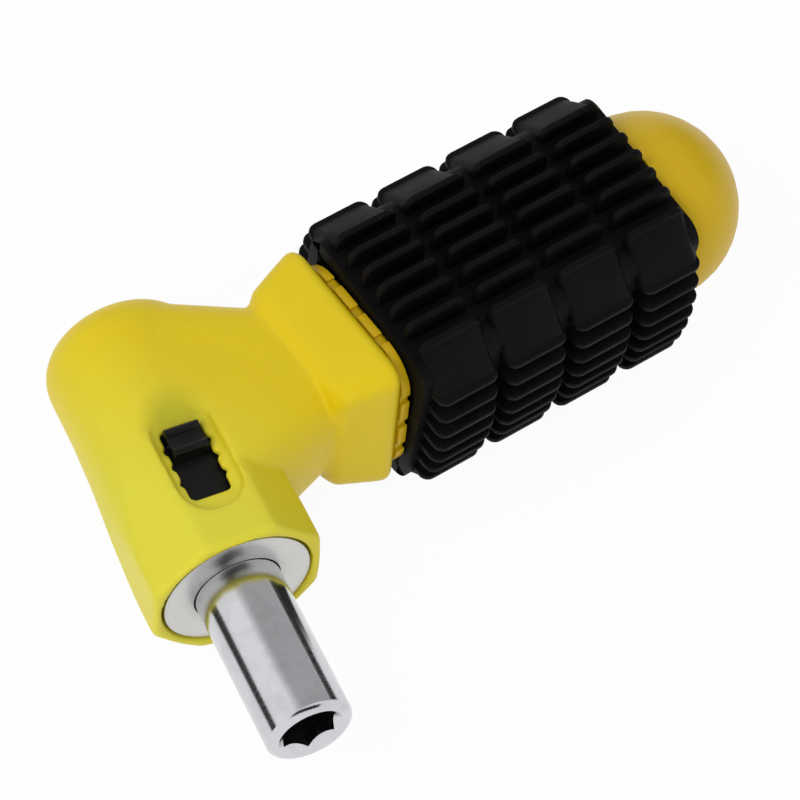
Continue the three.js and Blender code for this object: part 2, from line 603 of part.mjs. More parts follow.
// Switch: the slide, the knob with two cross ridges and side bumps, and the peg into the cam
function switchSlider() {
  const [knobLow, knobHigh] = [KNOB_MID_Y - KNOB_LENGTH / 2, KNOB_MID_Y + KNOB_LENGTH / 2];
  const knobTopZ = RECESS_FLOOR_Z + KNOB_RISE;
  const slide = block([-SLIDE_HALF, SLOT_END_Y, SLIDE_FLOOR_Z], [SLIDE_HALF, SLIDE_TOP_Y, SLIDE_TOP_Z]);
  const knob = block([-KNOB_HALF, knobLow, SLIDE_FLOOR_Z], [KNOB_HALF, knobHigh, knobTopZ]);
  const ridges = [knobLow + RIDGE_R, knobHigh - RIDGE_R].map((y) => {
    const bar = new THREE.CylinderGeometry(RIDGE_R, RIDGE_R, 2 * KNOB_HALF, 12).rotateZ(Math.PI / 2);
    return solid(bar.translate(0, y, knobTopZ));
  });
  const bumps = [-1, 1].map((side) => {
    const bump = new THREE.CylinderGeometry(RUN_GAP, RUN_GAP, SLOT_WALL, 12).rotateX(Math.PI / 2);
    return solid(bump.translate(side * KNOB_HALF, KNOB_MID_Y, RECESS_FLOOR_Z - SLOT_WALL / 2));
  });
  const peg = new THREE.CylinderGeometry(PEG_R, PEG_R, PEG_LENGTH + SLIDE_THICK, 16).rotateX(Math.PI / 2);
  peg.translate(0, PEG_Y, SLIDE_TOP_Z - (PEG_LENGTH + SLIDE_THICK) / 2);
  return joined([slide, knob, ...ridges, ...bumps, solid(peg)]);
}

// Cam: a ramp for each pawl's lug, the forward one rising as the switch goes down and the other falling
function ramp(side) {
  const rise = (y) => {
    const share = (y - LUG_Y) / SWITCH_TRAVEL;
    return RAMP_LOW_Z + RAMP_RISE * (side > 0 ? share : 1 - share);
  };
  const outline = [
    [CAM_LOW_Y, CAM_FLOOR_Z], [CAM_HIGH_Y, CAM_FLOOR_Z],
    [CAM_HIGH_Y, rise(CAM_HIGH_Y)], [CAM_LOW_Y, rise(CAM_LOW_Y)],
  ];
  const shape = new THREE.Shape(outline.map(([y, z]) => new THREE.Vector2(y, z)));
  return side > 0 ? handlePrism(shape, 0, CAM_RAMP_HALF) : handlePrism(shape, -CAM_RAMP_HALF, 0);
}

function shiftCam() {
  const web = block([-CAM_WEB_HALF, CAM_LOW_Y, CAM_FLOOR_Z], [CAM_WEB_HALF, CAM_HIGH_Y, CAM_TOP_Z]);
  const deep = PEG_LENGTH + SEAT_GAP;
  const hole = new THREE.CylinderGeometry(PEG_R + RUN_GAP, PEG_R + RUN_GAP, deep, 16).rotateX(Math.PI / 2);
  hole.translate(0, PEG_Y, SLIDE_FLOOR_Z - deep / 2);
  return cut(joined([web, ramp(1), ramp(-1)]), [solid(hole)]);
}

// Finishes
const FINISHES = {
  yellow_abs: { color: '#e2cb3c', roughness: 0.42, metalness: 0 },
  black_rubber: { color: '#1b1b1d', roughness: 0.8, metalness: 0 },
  black_plastic: { color: '#121214', roughness: 0.45, metalness: 0 },
  chrome: { color: '#d8dadd', roughness: 0.12, metalness: 1 },
  steel: { color: '#b4b4b0', roughness: 0.38, metalness: 1 },
  hard_steel: { color: '#6f7176', roughness: 0.45, metalness: 1 },
  bronze: { color: '#a9814b', roughness: 0.45, metalness: 1 },
};

// Assembly
const tool = new THREE.Group();
const handle = new THREE.Group();
handle.position.y = HANDLE_RISE;
handle.rotation.z = LEAN;
tool.add(handle);

function place(parent, name, body, finish) {
  const geometry = body.isBufferGeometry ? body : geometryOf(body);
  const mesh = new THREE.Mesh(geometry, new THREE.MeshStandardMaterial(FINISHES[finish]));
  mesh.name = name;
  parent.add(mesh);
  return mesh;
}

place(tool, 'head_housing', headHousing(), 'yellow_abs');
place(handle, 'handle_core', handleCore(), 'yellow_abs');
place(handle, 'grip_sleeve', gripSleeve(), 'black_rubber');
place(handle, 'handle_pin', handlePin(), 'steel');
place(tool, 'flange_plate', ring(HOLDER_HOLE_R, FLANGE_R, FLANGE_FACE_Y, LEDGE_Y - SEAT_GAP), 'steel');
place(tool, 'thrust_washer', ring(HOLDER_HOLE_R, SHOULDER_R, LEDGE_Y, SHOULDER_Y - SEAT_GAP), 'bronze');
place(tool, 'bit_holder', bitHolder(), 'chrome');
place(tool, 'bit_magnet', rod(MAGNET_R, SEAT_Y, SEAT_Y + MAGNET_LENGTH), 'hard_steel');
place(tool, 'ratchet_gear', ratchetGear(), 'hard_steel');
place(tool, 'gear_clip', gearClip(), 'hard_steel');
place(tool, 'rear_washer', ring(JOURNAL_HOLE_R, CLIP_R, REAR_WASHER_Y, BUSH_Y - SEAT_GAP), 'steel');
place(tool, 'rear_bush', ring(JOURNAL_HOLE_R, BUSH_R, BUSH_Y, BUSH_TOP_Y), 'bronze');
place(tool, 'pawl_plate', pawlPlate(), 'steel');
place(tool, 'switch_slider', switchSlider(), 'black_plastic');
place(tool, 'shift_cam', shiftCam(), 'hard_steel');

// At rest the switch is at the top: the forward pawl is in the gear and the reverse pawl is lifted
const [pivotX, pivotZ] = polar(PIVOT_R, PIVOT_DEG);
const forward = place(tool, 'forward_pawl', pawl(LUG_Y - PAWL_MID_Y), 'hard_steel');
forward.position.set(pivotX, PAWL_MID_Y, pivotZ);
const reverse = place(tool, 'reverse_pawl', pawl(PAWL_MID_Y - LUG_Y), 'hard_steel');
reverse.position.set(-pivotX, PAWL_MID_Y, pivotZ);
reverse.rotation.set(0, -SWING, Math.PI);
place(tool, 'forward_pawl_pin', pawlPin(1), 'steel');
place(tool, 'reverse_pawl_pin', pawlPin(-1), 'steel');
place(tool, 'forward_pawl_spring', leafSpring(1, LEAF_ENGAGED_R), 'steel');
place(tool, 'reverse_pawl_spring', leafSpring(-1, LEAF_ROOT_R), 'steel');

// The tool lies on its side with the switch up: the box's base centre is the origin
const screwdriver = new THREE.Group();
screwdriver.add(tool);
screwdriver.updateMatrixWorld(true);
const bounds = new THREE.Box3().setFromObject(tool, true);
const centre = bounds.getCenter(new THREE.Vector3());
tool.position.set(-centre.x, -centre.y, -bounds.min.z);

export default screwdriver;
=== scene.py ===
import json
import math

import bmesh
import bpy
from mathutils import Matrix, Vector

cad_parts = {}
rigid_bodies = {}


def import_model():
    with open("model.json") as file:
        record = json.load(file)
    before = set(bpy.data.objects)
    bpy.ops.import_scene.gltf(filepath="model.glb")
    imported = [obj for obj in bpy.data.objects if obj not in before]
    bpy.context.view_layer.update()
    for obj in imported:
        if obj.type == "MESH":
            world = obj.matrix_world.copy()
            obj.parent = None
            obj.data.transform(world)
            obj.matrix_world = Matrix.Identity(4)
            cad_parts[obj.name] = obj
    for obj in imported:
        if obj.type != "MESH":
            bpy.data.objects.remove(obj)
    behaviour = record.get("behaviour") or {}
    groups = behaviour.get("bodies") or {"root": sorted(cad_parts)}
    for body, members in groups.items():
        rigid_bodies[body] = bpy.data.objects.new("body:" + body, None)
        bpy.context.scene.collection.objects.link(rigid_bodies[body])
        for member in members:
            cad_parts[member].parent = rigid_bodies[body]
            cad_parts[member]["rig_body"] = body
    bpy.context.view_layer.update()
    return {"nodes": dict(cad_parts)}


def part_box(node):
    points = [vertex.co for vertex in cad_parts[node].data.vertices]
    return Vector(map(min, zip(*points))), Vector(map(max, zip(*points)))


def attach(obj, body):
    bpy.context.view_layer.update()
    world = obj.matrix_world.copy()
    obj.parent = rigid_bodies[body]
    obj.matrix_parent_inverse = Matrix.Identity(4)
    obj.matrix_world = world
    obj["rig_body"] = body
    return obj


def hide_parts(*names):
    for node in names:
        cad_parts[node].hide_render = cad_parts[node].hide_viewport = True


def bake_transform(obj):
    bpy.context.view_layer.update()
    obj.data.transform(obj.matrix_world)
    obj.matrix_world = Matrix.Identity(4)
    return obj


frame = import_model()

# Head moulding: the yellow plastic head, neck and collar, made in one mould. The solid is copied and
# remeshed fine to soften it as a mould does. The switch slot stays crisp, and above it the recess runs
# out as a shallow scoop. The plastic is a little clear, so its edges glow. Round the slot and its scoop
# the colour is painted darker: partly painted shade in the scoop, partly the thin clear wall over the dark
# cavity.
HEAD_VOXEL = 0.00034
HEAD_EDGE_ROUNDS = 5
COLLAR_ROUNDS = 8
COLLAR_FROM = 0.0205
SCOOP_ROUNDS = 60
SKIN_ROUNDS = 2
SMOOTH_STEP = 0.5
WELD = 1e-6
SLOT_LENGTH = 0.0104
SLOT_HALF = 0.0034
SLOT_LIP = 0.0008
SCOOP_HALF = 0.0055
SCOOP_LENGTH = 0.0052
LEMON = (0.68, 0.62, 0.042, 1)
AMBER = (0.76, 0.57, 0.009, 1)
SHADE = (0.69, 0.51, 0.006, 1)
# Painted shade round the slot: partly the shade in the scoop, partly the thin clear wall over the dark
# cavity.
SCOOP_SHADE_AND_THIN_WALL = (0.43, 0.41, 0.022, 1)
SCOOP_SHADE_AND_THIN_WALL_REACH = (0.0050, 0.0062, 0.0080)
SCOOP_SHADE_AND_THIN_WALL_FADE = (0.45, 1)
SCOOP_SHADE_AND_THIN_WALL_STRENGTH = 0.8
WARM_WAY = (0.75, 0.66, 0)
WARM_SPAN = 0.009
CLEARNESS = 0.06
CLEAR_DEPTH = 0.002
SKIN_DETAIL = 4
MOTTLE_SPAN = (0.3, 0.7)
GRAIN_DEPTH = 0.0001


def merged_copy(node):
    bm = bmesh.new()
    bm.from_mesh(frame["nodes"][node].data)
    bmesh.ops.remove_doubles(bm, verts=bm.verts, dist=WELD)
    return bm


def as_piece(bm, name):
    mesh = bpy.data.meshes.new(name)
    bm.to_mesh(mesh)
    bm.free()
    piece = bpy.data.objects.new(name, mesh)
    bpy.context.scene.collection.objects.link(piece)
    return piece


def fine_copy(node, voxel):
    block = as_piece(merged_copy(node), "coarse block")
    remesh = block.modifiers.new("remesh", "REMESH")
    remesh.mode = "VOXEL"
    remesh.voxel_size = voxel
    fine = bpy.data.meshes.new_from_object(block.evaluated_get(bpy.context.evaluated_depsgraph_get()))
    bpy.data.objects.remove(block)
    bm = bmesh.new()
    bm.from_mesh(fine)
    bpy.data.meshes.remove(fine)
    for face in bm.faces:
        face.smooth = True
    return bm


def smoothed(bm, verts, rounds):
    for _ in range(rounds):
        bmesh.ops.smooth_vert(
            bm, verts=verts, factor=SMOOTH_STEP, use_axis_x=True, use_axis_y=True, use_axis_z=True,
        )


def stand_for(piece, node, material):
    piece.data.materials.append(material)
    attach(piece, frame["nodes"][node]["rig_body"])
    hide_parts(node)


def effect_group(name, inputs, outputs):
    group = bpy.data.node_groups.new(name, "ShaderNodeTree")
    for socket, kind in inputs:
        group.interface.new_socket(socket, in_out="INPUT", socket_type=kind)
    for socket in outputs:
        group.interface.new_socket(socket, in_out="OUTPUT", socket_type="NodeSocketFloat")
    given = group.nodes.new("NodeGroupInput").outputs
    result = group.nodes.new("NodeGroupOutput").inputs
    return group, group.nodes, group.links, given, result


def noise(nodes, links, place, detail):
    texture = nodes.new("ShaderNodeTexNoise")
    texture.inputs["Detail"].default_value = detail
    links.new(place, texture.inputs["Vector"])
    return texture.inputs["Scale"], texture.outputs["Fac"]


def moulded_skin():
    scales = [(name, "NodeSocketFloat") for name in ("Grain Scale", "Mottle Scale")]
    group, nodes, links, given, result = effect_group("moulded skin", scales, ("Grain", "Mottle"))
    place = nodes.new("ShaderNodeTexCoord").outputs["Object"]
    for name in ("Grain", "Mottle"):
        scale, value = noise(nodes, links, place, SKIN_DETAIL)
        links.new(given[name + " Scale"], scale)
        links.new(value, result[name])
    return group


SKIN = moulded_skin()


def with_effect(nodes, group, name):
    effect = nodes.new("ShaderNodeGroup")
    effect.node_tree = group
    effect.name = name
    return effect.inputs, effect.outputs


def new_material(name):
    material = bpy.data.materials.new(name)
    material.use_nodes = True
    return material, material.node_tree.nodes, material.node_tree.links


def vector_math(nodes, links, operation, *values):
    node = nodes.new("ShaderNodeVectorMath")
    node.operation = operation
    for socket, value in zip(node.inputs, values):
        if isinstance(value, tuple):
            socket.default_value = value
        else:
            links.new(value, socket)
    return node.outputs["Value" if operation in ("DOT_PRODUCT", "LENGTH") else "Vector"]


def mixed(nodes, links, factor, a, b):
    mix = nodes.new("ShaderNodeMix")
    mix.data_type = "RGBA"
    for socket, colour in (("A", a), ("B", b)):
        if isinstance(colour, tuple):
            mix.inputs[socket].default_value = colour
        else:
            links.new(colour, mix.inputs[socket])
    links.new(factor, mix.inputs["Factor"])
    return mix.outputs["Result"]


def ranged(nodes, links, value, source, target):
    span = nodes.new("ShaderNodeMapRange")
    span.inputs["From Min"].default_value, span.inputs["From Max"].default_value = source
    span.inputs["To Min"].default_value, span.inputs["To Max"].default_value = target
    links.new(value, span.inputs["Value"])
    return span.outputs["Result"]


def raised(nodes, links, height, strength, depth):
    relief = nodes.new("ShaderNodeBump")
    relief.inputs["Strength"].default_value = strength
    relief.inputs["Distance"].default_value = depth
    links.new(height, relief.inputs["Height"])
    return relief.outputs["Normal"]


def plastic(name, light, deep, grain, mottle, rough, bump, gloss, edge_glow=0):
    material, nodes, links = new_material(name)
    shader = nodes["Principled BSDF"].inputs
    scales, skin = with_effect(nodes, SKIN, "skin")
    scales["Grain Scale"].default_value = grain
    scales["Mottle Scale"].default_value = mottle
    links.new(mixed(nodes, links, skin["Mottle"], light, deep), shader["Base Color"])
    links.new(ranged(nodes, links, skin["Mottle"], MOTTLE_SPAN, rough), shader["Roughness"])
    links.new(raised(nodes, links, skin["Grain"], bump, GRAIN_DEPTH), shader["Normal"])
    shader["Specular IOR Level"].default_value = gloss
    shader["Sheen Weight"].default_value = edge_glow
    shader["Sheen Tint"].default_value = light
    return material


slide_low, slide_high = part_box("switch_slider")
slot_x = (slide_low.x + slide_high.x) / 2
slot_top = slide_low.y + SLOT_LENGTH

bm = fine_copy("head_housing", HEAD_VOXEL)
soft, scoop = [], []
for vert in bm.verts:
    across, up = abs(vert.co.x - slot_x), vert.co.y - slide_low.y
    at_switch = vert.co.z > slide_low.z
    if not (at_switch and across < SLOT_HALF and -SLOT_LIP < up < SLOT_LENGTH + SLOT_LIP):
        soft.append(vert)
        if at_switch and across < SCOOP_HALF and 0 < up - SLOT_LENGTH < SCOOP_LENGTH:
            scoop.append(vert)
smoothed(bm, soft, HEAD_EDGE_ROUNDS)
smoothed(bm, scoop, SCOOP_ROUNDS)
smoothed(bm, [v for v in soft if v.co.x > slot_x + COLLAR_FROM], COLLAR_ROUNDS)
smoothed(bm, bm.verts, SKIN_ROUNDS)
head = as_piece(bm, "head_moulding")

head_yellow = plastic(
    "head yellow", AMBER, SHADE, grain=2600, mottle=70, rough=(0.34, 0.44),
    bump=0.12, gloss=0.22, edge_glow=0.3,
)
nodes, links = head_yellow.node_tree.nodes, head_yellow.node_tree.links
shader = nodes["Principled BSDF"].inputs
shader["Subsurface Weight"].default_value = CLEARNESS
shader["Subsurface Scale"].default_value = CLEAR_DEPTH
place = nodes.new("ShaderNodeTexCoord").outputs["Object"]
middle = Vector(WARM_WAY).dot(Vector((slot_x, slot_top, 0)))
lean = vector_math(nodes, links, "DOT_PRODUCT", place, WARM_WAY)
warmth = ranged(nodes, links, lean, (middle - WARM_SPAN, middle + WARM_SPAN), (0, 1))
yellow = mixed(nodes, links, warmth, LEMON, shader["Base Color"].links[0].from_socket)
# Painted shade: the base colour darkens towards the slot and its scoop. This stands partly for the shade
# in the scoop and partly for the thin clear wall over the dark cavity.
centred = vector_math(nodes, links, "SUBTRACT", place, (slot_x, slot_top, slide_high.z))
spread = vector_math(nodes, links, "DIVIDE", centred, SCOOP_SHADE_AND_THIN_WALL_REACH)
away = vector_math(nodes, links, "LENGTH", spread)
scoop_shade_and_thin_wall = ranged(nodes, links, away, SCOOP_SHADE_AND_THIN_WALL_FADE, (SCOOP_SHADE_AND_THIN_WALL_STRENGTH, 0))
links.new(mixed(nodes, links, scoop_shade_and_thin_wall, yellow, SCOOP_SHADE_AND_THIN_WALL), shader["Base Color"])
stand_for(head, "head_housing", head_yellow)

# Ratchet works: the bearings, gear, pawls, springs and cam that are put into the head.
# They are turned, stamped or sintered metal, and none shows once the tool is closed, so their
# solids take bare metal finishes. The leaf springs that push the pawls are steel copies of their solids.
STEEL = (0.46, 0.46, 0.44, 1)
STEEL_WORN = (0.34, 0.34, 0.33, 1)
HARD_STEEL = (0.16, 0.165, 0.18, 1)
HARD_STEEL_WORN = (0.24, 0.24, 0.25, 1)
BRONZE = (0.42, 0.24, 0.08, 1)
BRONZE_WORN = (0.30, 0.16, 0.05, 1)
MARK_DETAIL = 3
MARK_SPAN = (0.25, 0.75)
MARK_DEPTH = 0.00005
WEAR_SCALE = 300
WEAR_DETAIL = 5
WEAR_SPAN = (0.45, 0.75)


def tool_marks():
    places = [(name, "NodeSocketVector") for name in ("Place", "Stretch")]
    group, nodes, links, given, result = effect_group("tool marks", places, ("Marks", "Wear"))
    drawn = vector_math(nodes, links, "MULTIPLY", given["Place"], given["Stretch"])
    scale, marks = noise(nodes, links, drawn, MARK_DETAIL)
    scale.default_value = 1
    links.new(marks, result["Marks"])
    scale, wear = noise(nodes, links, given["Place"], WEAR_DETAIL)
    scale.default_value = WEAR_SCALE
    links.new(wear, result["Wear"])
    return group


MARKS = tool_marks()


def metal(name, bright, worn, stretch, rough, bump):
    material, nodes, links = new_material(name)
    shader = nodes["Principled BSDF"].inputs
    shader["Metallic"].default_value = 1
    place, marks = with_effect(nodes, MARKS, "marks")
    place["Stretch"].default_value = stretch
    links.new(nodes.new("ShaderNodeTexCoord").outputs["Object"], place["Place"])
    wear = ranged(nodes, links, marks["Wear"], WEAR_SPAN, (0, 1))
    links.new(mixed(nodes, links, wear, bright, worn), shader["Base Color"])
    links.new(ranged(nodes, links, marks["Marks"], MARK_SPAN, rough), shader["Roughness"])
    links.new(raised(nodes, links, marks["Marks"], bump, MARK_DEPTH), shader["Normal"])
    return material


steel = metal(
    "bright steel", STEEL, STEEL_WORN, stretch=(400, 6000, 400), rough=(0.24, 0.36), bump=0.3,
)
hard_steel = metal(
    "hardened steel", HARD_STEEL, HARD_STEEL_WORN, stretch=(400, 5000, 400), rough=(0.30, 0.45), bump=0.3,
)
bronze = metal(
    "sintered bronze", BRONZE, BRONZE_WORN, stretch=(5000, 5000, 5000), rough=(0.38, 0.55), bump=0.4,
)
WORKS = {
    "rear_bush": bronze, "thrust_washer": bronze, "rear_washer": steel, "pawl_plate": steel,
    "ratchet_gear": hard_steel, "gear_clip": hard_steel, "shift_cam": hard_steel,
    "forward_pawl": hard_steel, "reverse_pawl": hard_steel,
    "forward_pawl_pin": steel, "reverse_pawl_pin": steel,
}
for node, finish in WORKS.items():
    frame["nodes"][node].material_slots[0].material = finish
for way in ("forward", "reverse"):
    node = way + "_pawl_spring"
    low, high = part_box(node)
    leaf = as_piece(merged_copy(node), way + "_leaf_spring")
    leaf.data.materials.append(steel)
    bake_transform(leaf)
    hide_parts(node)

# Bit holder: a turned steel sleeve with a broached hex socket, polished and chrome plated.
# Its mouth has rounded edges. The magnet at the bottom of the socket is a plain nickel-plated
# disc and keeps its solid.
SHARP_TURN = 0.6
FLAT_TURN = 0.02
MOUTH_TURN = 0.3
MOUTH_DEPTH = 0.0016
MOUTH_REACH = 0.0042
MOUTH_ROUND = 0.0003
MOUTH_SEGMENTS = 3
CHROME = (0.64, 0.645, 0.67, 1)
CHROME_WORN = (0.53, 0.535, 0.555, 1)
NICKEL = (0.30, 0.29, 0.28, 1)
NICKEL_WORN = (0.20, 0.19, 0.18, 1)


def shaded(bm, turn):
    for face in bm.faces:
        face.smooth = True
    for edge in bm.edges:
        edge.smooth = len(edge.link_faces) == 2 and edge.calc_face_angle() < turn


def rounded(bm, edges, size, segments):
    bmesh.ops.bevel(
        bm, geom=edges, offset=size, offset_type="OFFSET", segments=segments,
        profile=0.5, affect="EDGES", clamp_overlap=True, material=-1,
    )


def sharp_edges(bm, turn):
    return [e for e in bm.edges if len(e.link_faces) == 2 and e.calc_face_angle() > turn]


def plain_copy(node):
    bm = merged_copy(node)
    bmesh.ops.dissolve_limit(bm, angle_limit=FLAT_TURN, verts=bm.verts, edges=bm.edges)
    return bm


holder_low, holder_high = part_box("bit_holder")
bit_axis = (holder_low + holder_high) / 2


def at_mouth(edge):
    return all(
        v.co.y < holder_low.y + MOUTH_DEPTH
        and math.hypot(v.co.x - bit_axis.x, v.co.z - bit_axis.z) > MOUTH_REACH
        for v in edge.verts
    )


bm = plain_copy("bit_holder")
rounded(bm, [e for e in sharp_edges(bm, MOUTH_TURN) if at_mouth(e)], MOUTH_ROUND, MOUTH_SEGMENTS)
shaded(bm, SHARP_TURN)
holder = as_piece(bm, "chrome_holder")
chrome = metal(
    "chrome plate", CHROME, CHROME_WORN, stretch=(150, 2500, 150), rough=(0.13, 0.20), bump=0.03,
)
stand_for(holder, "bit_holder", chrome)
nickel = metal(
    "nickel plate", NICKEL, NICKEL_WORN, stretch=(900, 900, 900), rough=(0.25, 0.40), bump=0.2,
)
frame["nodes"]["bit_magnet"].material_slots[0].material = nickel

# Flange plate: a turned steel ring pressed into the mouth of the head round the bit holder.
# Its face keeps the fine rings that the lathe tool left, and its edges are broken.
FLANGE_BORE = 0.0056
FLANGE_EDGE = 0.00015
FLANGE_STEPS = 96
FLANGE_TURN = 1
FLANGE_BRIGHT = (0.62, 0.615, 0.60, 1)
FLANGE_WORN = (0.52, 0.51, 0.49, 1)
FLANGE_STREAK = 0.8
BREAK_SEGMENTS = 2

flange_low, flange_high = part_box("flange_plate")
flange_middle = (flange_low + flange_high) / 2
flange_radius = (flange_high.x - flange_low.x) / 2
bm = bmesh.new()
section = [
    bm.verts.new(flange_middle + Vector((radius, height - flange_middle.y, 0)))
    for radius, height in (
        (FLANGE_BORE, flange_low.y), (flange_radius, flange_low.y),
        (flange_radius, flange_high.y), (FLANGE_BORE, flange_high.y),
    )
]
outline = [bm.edges.new((section[i - 1], section[i])) for i in range(len(section))]
bmesh.ops.spin(
    bm, geom=section + outline, cent=flange_middle, axis=(0, 1, 0),
    angle=2 * math.pi, steps=FLANGE_STEPS, use_merge=True,
)
bmesh.ops.recalc_face_normals(bm, faces=bm.faces)
rounded(bm, sharp_edges(bm, FLANGE_TURN), FLANGE_EDGE, BREAK_SEGMENTS)
shaded(bm, SHARP_TURN)
flange = as_piece(bm, "flange_ring")

lathe_steel = metal(
    "lathe-turned steel", FLANGE_BRIGHT, FLANGE_WORN, stretch=(9000, 1, 1), rough=(0.20, 0.34), bump=0.5,
)
nodes, links = lathe_steel.node_tree.nodes, lathe_steel.node_tree.links
shader = nodes["Principled BSDF"].inputs
shader["Anisotropic"].default_value = FLANGE_STREAK
tangent = nodes.new("ShaderNodeTangent")
tangent.axis = "Y"
links.new(tangent.outputs["Tangent"], shader["Tangent"])
centred = nodes.new("ShaderNodeMapping")
centred.inputs["Location"].default_value = (-flange_middle.x, 0, -flange_middle.z)
centred.inputs["Scale"].default_value = (1, 0, 1)
links.new(nodes["Texture Coordinate"].outputs["Object"], centred.inputs["Vector"])
rings = nodes.new("ShaderNodeCombineXYZ")
links.new(vector_math(nodes, links, "LENGTH", centred.outputs["Vector"]), rings.inputs["X"])
links.new(rings.outputs["Vector"], nodes["marks"].inputs["Place"])
stand_for(flange, "flange_plate", lathe_steel)

# Switch: a black plastic slide with a two-ridge knob, pushed into its slot from inside the head.
# Its copy has broken edges, and a little dust lies on it as it does on the rubber.
KNOB_EDGE = 0.0002
KNOB_TURN = 0.6
SWITCH_LIGHT = (0.0055, 0.0055, 0.0053, 1)
SWITCH_DEEP = (0.003, 0.003, 0.003, 1)
DUST = (0.16, 0.155, 0.15, 1)
SPECK_FADE = (0.03, 0.09)
SPECK_STRENGTH = 0.22


def broken_copy(node, size, turn):
    bm = plain_copy(node)
    rounded(bm, sharp_edges(bm, turn), size, BREAK_SEGMENTS)
    shaded(bm, SHARP_TURN)
    return bm


def dust_specks():
    spacing = [("Spacing", "NodeSocketFloat")]
    group, nodes, links, given, result = effect_group("dust specks", spacing, ("Specks",))
    cells = nodes.new("ShaderNodeTexVoronoi")
    links.new(nodes.new("ShaderNodeTexCoord").outputs["Object"], cells.inputs["Vector"])
    links.new(given["Spacing"], cells.inputs["Scale"])
    specks = ranged(nodes, links, cells.outputs["Distance"], SPECK_FADE, (SPECK_STRENGTH, 0))
    links.new(specks, result["Specks"])
    return group


SPECKS = dust_specks()


def dusted(material, spacing):
    nodes, links = material.node_tree.nodes, material.node_tree.links
    base = nodes["Principled BSDF"].inputs["Base Color"]
    settings, dust = with_effect(nodes, SPECKS, "dust")
    settings["Spacing"].default_value = spacing
    links.new(mixed(nodes, links, dust["Specks"], base.links[0].from_socket, DUST), base)


switch = as_piece(broken_copy("switch_slider", KNOB_EDGE, KNOB_TURN), "slide_switch")
switch_black = plastic(
    "switch black", SWITCH_LIGHT, SWITCH_DEEP, grain=3000, mottle=200, rough=(0.30, 0.42),
    bump=0.1, gloss=0.2,
)
dusted(switch_black, spacing=1200)
stand_for(switch, "switch_slider", switch_black)

# Handle core: the warmer yellow moulding inside the grip, held on the head's spigot by a steel pin.
# Only its notched strip in front of the rubber and its domed end show.
CORE_EDGE = 0.0003
CORE_TURN = 0.8
CORE_LIGHT = (0.67, 0.445, 0.006, 1)
CORE_DEEP = (0.59, 0.375, 0.005, 1)

core = as_piece(broken_copy("handle_core", CORE_EDGE, CORE_TURN), "core_moulding")
core_yellow = plastic(
    "core yellow", CORE_LIGHT, CORE_DEEP, grain=2600, mottle=60, rough=(0.32, 0.42),
    bump=0.10, gloss=0.22, edge_glow=0.3,
)
stand_for(core, "handle_core", core_yellow)
frame["nodes"]["handle_pin"].material_slots[0].material = steel

# Grip sleeve: a black rubber tube pulled over the core, with four rings of ribs moulded on it.
# Each ring has seven thin ribs a side, highest in the middle. The outer two edge a flat block at
# each corner, and the whole sleeve sits a little twisted on the core.
HANDLE_LEAN = math.radians(10.6)
TIP_TO_AXIS = 0.0416
TWIST = Matrix.Rotation(math.radians(5.4), 4, "X")
SLEEVE_FRONT = 0.0276
SLEEVE_LENGTH = 0.0418
SLEEVE_HALF = 0.0124
SLEEVE_INNER = 0.0107
SLEEVE_CORNER = 0.0028
SLEEVE_INNER_CORNER = 0.0055
SLEEVE_SEGMENTS = 8
SIDE_COUNT = 4
RING_COUNT = 4
RING_START = 0.0009
RING_PITCH = 0.010375
RING_LENGTH = 0.008875
RIB_COUNT = 7
RIB_PITCH = 0.003
RIB_WIDTH = 0.00095
RIB_REACH = 0.0162
RIB_ROOT = 0.0112
RIB_END_ROUND = 0.0014
RIB_END_SEGMENTS = 5
RIB_EDGE = 0.00025
RIB_TURN = 1.2
BOW_RADIUS = 0.0322
CORNER_START = 0.0090
CORNER_REACH = 0.0147
CORNER_END_ROUND = 0.0012
CORNER_END_SEGMENTS = 4
CORNER_EDGE = 0.00035
CORNER_EDGE_SEGMENTS = 3
CORNER_TURN = 1.8
SLANT_LEAST = 1.2
GRIP_TURN = 0.7
NEARLY_ALL = 0.9
TOUCH = 1e-5
RUBBER_LIGHT = (0.0042, 0.0042, 0.0045, 1)
RUBBER_DEEP = (0.0028, 0.0028, 0.0031, 1)


def bar(bm, low, high):
    verts = bmesh.ops.create_cube(bm, size=1)["verts"]
    bmesh.ops.scale(bm, vec=high - low, verts=verts)
    bmesh.ops.translate(bm, vec=(high + low) / 2, verts=verts)
    return {e for v in verts for e in v.link_edges}


def along(edge, axis):
    a, b = edge.verts
    return abs(a.co[axis] - b.co[axis]) > NEARLY_ALL * edge.calc_length()


def both_above(edge, axis, value):
    return all(v.co[axis] > value for v in edge.verts)


def only_verts(geom):
    return [g for g in geom if isinstance(g, bmesh.types.BMVert)]


def everything(bm):
    return list(bm.verts) + list(bm.edges) + list(bm.faces)


def add_to(bm, other):
    mesh = bpy.data.meshes.new("part of the grip")
    other.to_mesh(mesh)
    other.free()
    bm.from_mesh(mesh)
    bpy.data.meshes.remove(mesh)


bm = bmesh.new()
for k in range(RIB_COUNT):
    offset = (k - (RIB_COUNT - 1) / 2) * RIB_PITCH
    top = RIB_REACH - offset * offset / (2 * BOW_RADIUS)
    low = Vector((0, offset - RIB_WIDTH / 2, RIB_ROOT))
    edges = bar(bm, low, Vector((RING_LENGTH, offset + RIB_WIDTH / 2, top)))
    ends = [e for e in edges if along(e, 1) and both_above(e, 2, top - TOUCH)]
    rounded(bm, ends, RIB_END_ROUND, RIB_END_SEGMENTS)
crests = [e for e in sharp_edges(bm, RIB_TURN) if both_above(e, 2, RIB_ROOT)]
rounded(bm, crests, RIB_EDGE, BREAK_SEGMENTS)

